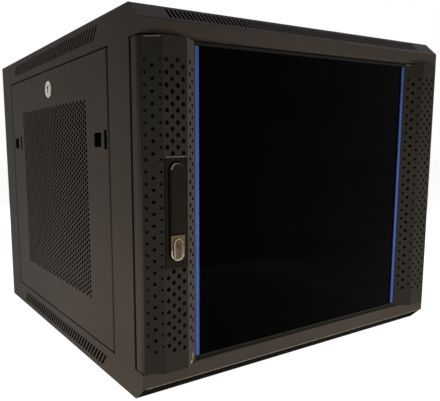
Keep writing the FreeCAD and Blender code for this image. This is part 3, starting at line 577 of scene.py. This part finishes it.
def slope_point(side, share, z, proud=0.0):
    """Point on the outer (3) or inner (1) slope of the left stile, at a share of the way to the ridge."""
    start, ridge = ((LEFT, FRONT), RIDGE_OUTER) if side == 3 else ((STILE_INNER, FRONT + EDGE_DROP), RIDGE_INNER)
    x = start[0] + (ridge - start[0]) * share
    y = start[1] + (RIDGE_FRONT - start[1]) * share
    return x, y - proud, z


# Light wire along the top end of the left stile's outer slope: painted highlight.
TOP_HIGHLIGHT = [slope_point(3, t, DOOR_HIGH - 1.4) for t in (0.22, 0.3, 0.5, 0.75, 0.88, 0.96)]
bead("stile_left_top_highlight", TOP_HIGHLIGHT, 0.6, FOLD_HIGHLIGHT, "door", "body_paint")
# Bright wire on the foot of the left stile's inner slope: painted highlight.
FOOT_HIGHLIGHT = [slope_point(1, t, z) for t, z in ((0.38, 57), (0.37, 53), (0.42, 49.5), (0.52, 46.5), (0.64, 44.5), (0.7, 44))]
bead("stile_left_foot_highlight", FOOT_HIGHLIGHT, 0.8, GLINT_METAL, "door", "body_paint")
# Glint wire at the top of the right stile's inner slope: painted highlight.
CORNER_HIGHLIGHT = [slope_point(1, t, DOOR_LOW + 1.4) for t in (0.05, 0.12, 0.25, 0.34)]
bead("stile_right_top_highlight", CORNER_HIGHLIGHT, 0.7, GLINT_EDGE, "door", "body_paint", DOOR_TURN)


# ---------------------------------------------------------------- side panels
PANEL_SHEET = 1.0
COLUMN = 7.2
ROW = 7.9
FIELD_COLUMNS = 43
FIELD_ROWS = 38
FIELD_HOLE = 3.25
FIELD_SHEET = 0.35
EDGE_GAP = 1.4
TOP_GAP = 1.6
FRONT_GAP = 2.8


def field_border(y0, z0):
    """Points round the perforated field, where its cells meet the plain sheet."""
    across = [y0 + i * COLUMN / 2 for i in range(2 * FIELD_COLUMNS)]
    up = [z0 + i * ROW / 2 for i in range(2 * FIELD_ROWS)]
    y1, z1 = y0 + FIELD_COLUMNS * COLUMN, z0 + FIELD_ROWS * ROW
    loop = [(y, z0) for y in across] + [(y1, z) for z in up]
    loop += [(y1 - (y - y0), z1) for y in across] + [(y0, z1 - (z - z0)) for z in up]
    return loop


def add_field(bm, y0, z0, place):
    """Staggered round holes: a cell of eight quads round each hole, and half cells without a hole."""
    known = {}

    def vertex(u, v, w):
        key = (round(u, 3), round(v, 3), w)
        if key not in known:
            known[key] = bm.verts.new(place(u, v, w))
        return known[key]

    rim = [(1, 0), (1, 1), (0, 1), (-1, 1), (-1, 0), (-1, -1), (0, -1), (1, -1)]
    for column in range(FIELD_COLUMNS):
        y = y0 + (column + 0.5) * COLUMN
        rise = ROW / 2 if column % 2 else 0.0
        for row in range(FIELD_ROWS - column % 2):
            z = z0 + rise + (row + 0.5) * ROW
            outer = [(y + u * COLUMN / 2, z + v * ROW / 2) for u, v in rim]
            inner = round_hole(y, z, FIELD_HOLE, 8)
            for i in range(8):
                j = (i + 1) % 8
                for w in (0.0, FIELD_SHEET):
                    bm.faces.new([vertex(*p, w) for p in (outer[i], outer[j], inner[j], inner[i])])
                bm.faces.new([vertex(*inner[i], 0.0), vertex(*inner[j], 0.0), vertex(*inner[j], FIELD_SHEET),
                              vertex(*inner[i], FIELD_SHEET)])
        if column % 2:
            for za, zb in ((z0, z0 + ROW / 2), (z0 + (FIELD_ROWS - 0.5) * ROW, z0 + FIELD_ROWS * ROW)):
                for ya, yb in ((y - COLUMN / 2, y), (y, y + COLUMN / 2)):
                    for w in (0.0, FIELD_SHEET):
                        bm.faces.new([vertex(*p, w) for p in ((ya, za), (yb, za), (yb, zb), (ya, zb))])


def side_panel():
    """Shallow tray with its perforated field, the windows of the latches and the lock's hole."""
    bm = new_mesh()
    front, back = TRAY_FRONT + FRONT_GAP, TRAY_BACK - EDGE_GAP
    low, high = TRAY_LOW + EDGE_GAP, TRAY_HIGH - TOP_GAP
    fold = Fold([(TRAY_INNER, front), (LEFT, front), (LEFT, back), (TRAY_INNER, back)], PANEL_SHEET, BEND)
    y0 = PANEL_MIDDLE - FIELD_COLUMNS * COLUMN / 2
    z0 = MIDDLE - FIELD_ROWS * ROW / 2
    lock_y = sum(span("left_lock_barrel", 1)) / 2
    lock_z = sum(span("left_lock_barrel", 2)) / 2
    latch_z = sum(span("left_front_latch", 2)) / 2

    def local(loop):
        return [(fold.along(1, (LEFT, y)), z) for y, z in loop]

    loops = [field_border(y0, z0), round_hole(lock_y, lock_z, 9.6, 24)]
    opening_front = TRAY_FRONT - 1.0
    opening_back = TRAY_BACK + 1.0
    for y in (opening_front + 38.0, opening_back - 27.0):
        loops.append(square_hole(y - 11.5, y + 11.5, latch_z - 10, latch_z + 10))
    for y in (opening_front + 13.0, opening_back - 57.0):
        loops.append(square_hole(y - 4.5, y + 4.5, latch_z - 13, latch_z + 13))
    add_fold(bm, fold, low, high, lambda p, c: (p.x, p.y, c), {1: [local(loop) for loop in loops]})
    add_field(bm, y0, z0, lambda y, z, w: (LEFT + w, y, z))
    for z in (low, high - PANEL_SHEET):
        add_bar(bm, (LEFT + PANEL_SHEET, front + PANEL_SHEET, z), (TRAY_INNER, back - PANEL_SHEET, z + PANEL_SHEET))
    return bm


for side, turn in (("left", NO_TURN), ("right", PANEL_TURN)):
    panel = settle(turned_over(side_panel(), turn), side + "_panel_perforated", BODY, side + "_panel", "body_paint",
                   side + "_side_panel")
    # The perforated field takes the lighter copy: painted highlight.
    second_finish(panel, FIELD_LIGHT, lambda n, p: abs(p.y - PANEL_MIDDLE) < FIELD_COLUMNS * COLUMN / 2
                  and abs(p.z - MIDDLE) < FIELD_ROWS * ROW / 2)
    # The inner face of each panel takes the near-black copy of the coat: painted shade.
    second_finish(panel, BAY_SHADE, lambda n, p, way=1 if side == "left" else -1: n.x * way > 0.9 and p.x * way > LEFT)


# ---------------------------------------------------------------- rounded copies of CAD solids
def rounded(node, name, material, body, slot, rules):
    """Copy of a CAD node with chosen edges rounded: rules hold a width, a step count and a test on the edge."""
    bm = new_mesh()
    bm.from_mesh(frame["nodes"][node].data)
    bmesh.ops.scale(bm, verts=bm.verts, vec=(1 / MM, 1 / MM, 1 / MM))
    bmesh.ops.remove_doubles(bm, verts=bm.verts, dist=0.003)
    bmesh.ops.dissolve_limit(bm, angle_limit=math.radians(1), verts=bm.verts, edges=bm.edges)
    for width, steps, test in rules:
        bm.normal_update()
        chosen = [e for e in bm.edges if len(e.link_faces) == 2 and e.calc_face_angle(0) > math.radians(35)
                  and test((e.verts[0].co + e.verts[1].co) / 2)]
        bmesh.ops.bevel(bm, geom=chosen, offset=width, segments=steps, profile=0.5, affect="EDGES",
                        clamp_overlap=True)
    piece = settle(bm, name, material, body, slot, node)
    for polygon in piece.data.polygons:
        polygon.use_smooth = True
    piece.data.set_sharp_from_angle(angle=math.radians(28))
    return piece


LOCK_LOW, LOCK_HIGH = span("handle_lock_head", 2)
LOCK_FRONT = span("handle_key_plug", 1)[0] - 0.3
LEVER_TOP = span("handle_lever", 2)[1]
lever = rounded("handle_lever", "lever_bar", HANDLE, "handle_lever", "handle_paint",
                [(0.7, 3, lambda p: p.y < span("handle_lever", 1)[0] + 1.6)])
# Upward and forward faces of the lever's rounded top take the glint finish: painted highlight.
second_finish(lever, GLINT_EDGE, lambda n, p: p.z > LEVER_TOP - 8 and -0.93 < n.y < -0.3 and n.x < 0.3)
rounded("handle_housing", "handle_plate", HANDLE, "door", "handle_paint",
        [(0.5, 2, lambda p: p.y < RIDGE_FRONT + 0.01)])
head = rounded("handle_lock_head", "lock_head", NICKEL, "door", "lock_head_nickel",
               [(1.2, 4, lambda p: abs(p.y - LOCK_FRONT) < 0.01
                 and (abs(p.x - HANDLE_X) > 7 or p.z < LOCK_LOW + 8 or p.z > LOCK_HIGH - 2))])
second_finish(head, HANDLE, lambda n, p: abs(n.y) < 0.35)
LOCK_HALF = (span("handle_lock_head", 0)[1] - span("handle_lock_head", 0)[0]) / 2
FOOT_Z = LOCK_LOW + LOCK_HALF
# Bright wire round the lower end of the lock head: painted highlight.
HEAD_HIGHLIGHT = [(HANDLE_X - (LOCK_HALF - 1.0) * math.cos(a), LOCK_FRONT + 0.1, FOOT_Z - (LOCK_HALF - 1.0) * math.sin(a))
       for a in [math.radians(d) for d in range(8, 173, 12)]]
HEAD_HIGHLIGHT = [(HEAD_HIGHLIGHT[0][0], HEAD_HIGHLIGHT[0][1], FOOT_Z + 4.5), (HEAD_HIGHLIGHT[0][0], HEAD_HIGHLIGHT[0][1], FOOT_Z + 2)] + HEAD_HIGHLIGHT
bead("lock_head_highlight", HEAD_HIGHLIGHT, 1.0, GLINT_METAL, "door", "lock_head_nickel")
cover = rounded("handle_dust_cover", "dust_cover", COVER, "dust_cover", "cover_steel",
                [(0.5, 3, lambda p: p.y < span("handle_dust_cover", 1)[0] + 0.01)])
COVER_LOW, COVER_HIGH = span("handle_dust_cover", 2)
COVER_FRONT = span("handle_dust_cover", 1)[0]
COVER_HALF = (span("handle_dust_cover", 0)[1] - span("handle_dust_cover", 0)[0]) / 2 - 0.7
# Raised wire round the dust cover, in bright metal: painted highlight on its rim.
COVER_RIM = []
for turn, centre in ((0, COVER_HIGH - COVER_HALF - 0.7), (180, COVER_LOW + COVER_HALF + 0.7)):
    for degrees in range(turn, turn + 181, 15):
        a = math.radians(degrees)
        COVER_RIM.append((HANDLE_X + COVER_HALF * math.cos(a), COVER_FRONT + 0.1, centre + COVER_HALF * math.sin(a)))
bead("dust_cover_rim_highlight", COVER_RIM + COVER_RIM[:1], 0.55, GLINT_METAL, "dust_cover", "cover_steel")
for side in ("left", "right"):
    trim = "trim_strip_" + side
    face = span(trim, 1)[0]
    strip = rounded(trim, "blue_strip_" + side, BLUE, "door", "blue_trim", [(1.2, 3, lambda p: p.y < face + 0.01)])
    # Faces that don't face the front take the dark navy: painted shade.
    second_finish(strip, BLUE_SHADE, lambda n, p: n.y > -0.75)


def handle_surround():
    """Thin plate round the lever and the lock head, which leaves a narrow slot about them."""
    half = LOCK_HALF + 1.0
    low, high = LOCK_LOW + LOCK_HALF, sum(span("handle_lever_pin", 2)) / 2
    arc = [math.radians(d) for d in range(0, 181, 12)]
    slot = [(HANDLE_X + half * math.cos(a), high + half * math.sin(a)) for a in arc]
    slot += [(HANDLE_X - half * math.cos(a), low - half * math.sin(a)) for a in arc]
    plate = square_hole(HANDLE_LEFT, HANDLE_RIGHT, HANDLE_LOW, HANDLE_HIGH)
    bm = new_mesh()
    add_sheet(bm, plate, [slot], 0.45, lambda u, v, w: (u, RIDGE_FRONT - 0.5 + w, v))
    return bm


settle(handle_surround(), "handle_surround", HANDLE, "door", "handle_paint")
# Light wire along the top edge of the handle plate: painted highlight.
bead("handle_top_highlight", [(HANDLE_LEFT + t, RIDGE_FRONT - 0.6, HANDLE_HIGH - 0.1) for t in (0, 2, 16, 28, 32)], 0.6,
     FOLD_HIGHLIGHT, "door", "handle_paint")


def keyed_face(name, centre, radius, body, turn):
    """Face of a round lock: a polished disc with its keyway, over a dark ground. The keyway is a dark sheet on the
    disc that paints the shade of an opening.
    """
    x, y, z = centre
    rim = [(y + radius * math.cos(a), z + radius * math.sin(a)) for a in [math.pi * i / 16 for i in range(32)]]
    shape = [(-1.0, -4.3), (1.0, -4.3), (1.0, 0.6), (2.3, 2.1), (1.7, 3.7), (0, 4.3), (-1.7, 3.7), (-2.3, 2.1),
             (-1.0, 0.6)]
    keyway = [(y + u * 1.35, z + v * 1.35) for u, v in shape]
    bm = new_mesh()
    add_sheet(bm, rim, [], 0.05, lambda u, v, w: (x + 0.2 + w, u, v))
    settle(turned_over(bm, turn), name + "_ground", PLASTIC, body, "latch_plastic")
    bm = new_mesh()
    add_sheet(bm, rim, [], 0.15, lambda u, v, w: (x + w, u, v))
    # The keyway is a dark sheet, not an opening: painted shade.
    dark = new_mesh()
    add_sheet(dark, keyway, [], 0.06, lambda u, v, w: (x - 0.05 + w, u, v))
    settle(turned_over(bm, turn), name, CHROME, body, "lock_chrome")
    settle(turned_over(dark, turn), name + "_keyway_shade", PLASTIC, body, "latch_plastic")


for side, turn in (("left", NO_TURN), ("right", TO_RIGHT)):
    barrel = side + "_lock_barrel"
    edge = span(barrel, 0)[0] if side == "left" else span(barrel, 0)[1]
    rounded(barrel, side + "_lock_bezel", CHROME, side + "_panel", "lock_chrome",
            [(1.3, 4, lambda p: abs(p.x - edge) < 0.01 and (p.y - PANEL_MIDDLE) ** 2 > 100
              or abs(p.x - edge) < 0.01 and abs(p.z - sum(span(barrel, 2)) / 2) > 10)])
    middle = (-abs(edge) + 0.06, PANEL_MIDDLE, sum(span(barrel, 2)) / 2)
    keyed_face(side + "_lock_face", middle, 6.6, side + "_lock_plug", turn)
for side in ("left", "right"):
    for which in ("front", "rear"):
        body = f"{side}_{which}_latch"
        rounded(body, body + "_tab", PLASTIC, body, "latch_plastic", [(0.5, 2, lambda p: True)])

# ---------------------------------------------------------------- finishes on the CAD nodes that stay
FINISHES = {
    "body_paint": BODY, "bay_paint": BAY_SHADE, "zinc": ZINC, "glass": GLASS, "blue_trim": BLUE,
    "handle_paint": HANDLE, "lock_chrome": CHROME, "lock_head_nickel": NICKEL, "cover_steel": COVER,
    "latch_plastic": PLASTIC,
}
for entry in frame["record"]["subparts"]:
    kept = frame["nodes"][entry["node"]]
    kept.data.materials.clear()
    # The door rails take the very dark copy of the coat: painted shade.
    finish = DOOR_RAIL_SHADE if entry["node"].startswith("door_rail") else FINISHES[entry["material_slot"]]
    kept.data.materials.append(finish)


# ---------------------------------------------------------------- floor, world, lamps and camera
def seen_directly(tree):
    """1 for camera, glossy and transmission rays, and 0 for the light that falls on the object."""
    path = tree.nodes.new("ShaderNodeLightPath")
    total = path.outputs["Is Camera Ray"]
    for name in ("Is Glossy Ray", "Is Transmission Ray"):
        most = tree.nodes.new("ShaderNodeMath")
        most.operation = "MAXIMUM"
        tree.links.new(total, most.inputs[0])
        tree.links.new(path.outputs[name], most.inputs[1])
        total = most.outputs[0]
    return total


def studio():
    world = bpy.data.worlds.new("studio")
    scene.world = world
    world.use_nodes = True
    tree = world.node_tree
    tree.nodes.clear()
    fill = node_of(tree, "ShaderNodeBackground", Color=(1, 1, 1, 1), Strength=0.105)
    white = node_of(tree, "ShaderNodeBackground", Color=(1, 1, 1, 1), Strength=1.0)
    mix = tree.nodes.new("ShaderNodeMixShader")
    out = tree.nodes.new("ShaderNodeOutputWorld")
    tree.links.new(seen_directly(tree), mix.inputs[0])
    tree.links.new(fill.outputs[0], mix.inputs[1])
    tree.links.new(white.outputs[0], mix.inputs[2])
    tree.links.new(mix.outputs[0], out.inputs["Surface"])

    material = bpy.data.materials.new("floor_white")
    material.use_nodes = True
    tree = material.node_tree
    shader = tree.nodes["Principled BSDF"]
    shader.inputs["Base Color"].default_value = (0.3, 0.3, 0.3, 1)
    shader.inputs["Roughness"].default_value = 0.9
    shader.inputs["Specular IOR Level"].default_value = 0.0
    glow = node_of(tree, "ShaderNodeEmission", Color=(1, 1, 1, 1), Strength=0.92)
    both = tree.nodes.new("ShaderNodeAddShader")
    pick = tree.nodes.new("ShaderNodeMixShader")
    output = tree.nodes["Material Output"]
    tree.links.new(shader.outputs[0], both.inputs[0])
    tree.links.new(glow.outputs[0], both.inputs[1])
    tree.links.new(seen_directly(tree), pick.inputs[0])
    tree.links.new(shader.outputs[0], pick.inputs[1])
    tree.links.new(both.outputs[0], pick.inputs[2])
    tree.links.new(pick.outputs[0], output.inputs["Surface"])
    bpy.ops.mesh.primitive_plane_add(size=16)
    floor = bpy.context.object
    floor.name = "floor"
    floor.data.materials.append(material)


def lamp(name, place, target, size, power, colour=(1, 1, 1), mirrored=True):
    data = bpy.data.lights.new(name, "AREA")
    data.shape = "RECTANGLE"
    data.size, data.size_y = size
    data.energy = power
    data.color = colour
    made = bpy.data.objects.new(name, data)
    scene.collection.objects.link(made)
    made.location = place
    made.rotation_euler = (Vector(target) - Vector(place)).to_track_quat("-Z", "Y").to_euler()
    made.visible_glossy = mirrored
    made.visible_camera = False


studio()
lamp("lamp_over", (-0.2, -0.9, 2.4), (0, -0.2, 0.3), (2.0, 1.6), 8)
lamp("lamp_front", (0.02, -0.84, 0.14), (-0.05, -0.3, 0.05), (0.9, 0.3), 5.0, (1, 0.98, 0.94), False)
lamp("lamp_side", (-0.72, -0.18, 0.06), (-0.3, -0.16, 0.0), (0.6, 0.1), 2.35, (1, 0.98, 0.94), False)
lamp("lamp_right", (1.7, 0.2, 0.7), (0.3, 0.1, 0.25), (1.2, 0.9), 20, (1, 1, 1), False)
lamp("lamp_back", (-0.1, 1.9, 0.7), (0, 0.3, 0.25), (1.2, 0.9), 26, (1, 1, 1), False)

lens = bpy.data.cameras.new("camera")
camera = bpy.data.objects.new("camera", lens)
scene.collection.objects.link(camera)
scene.camera = camera
camera.location = (-0.59833, -0.83242, 0.33052)
camera.rotation_euler = [math.radians(a) for a in (82.171, 0.904, -30.339)]
lens.sensor_width = 36.0
lens.lens = 41.278
lens.shift_x = 0.1627
lens.shift_y = 0.0337
lens.clip_start = 0.02
lens.clip_end = 60.0

scene.view_settings.view_transform = "Standard"
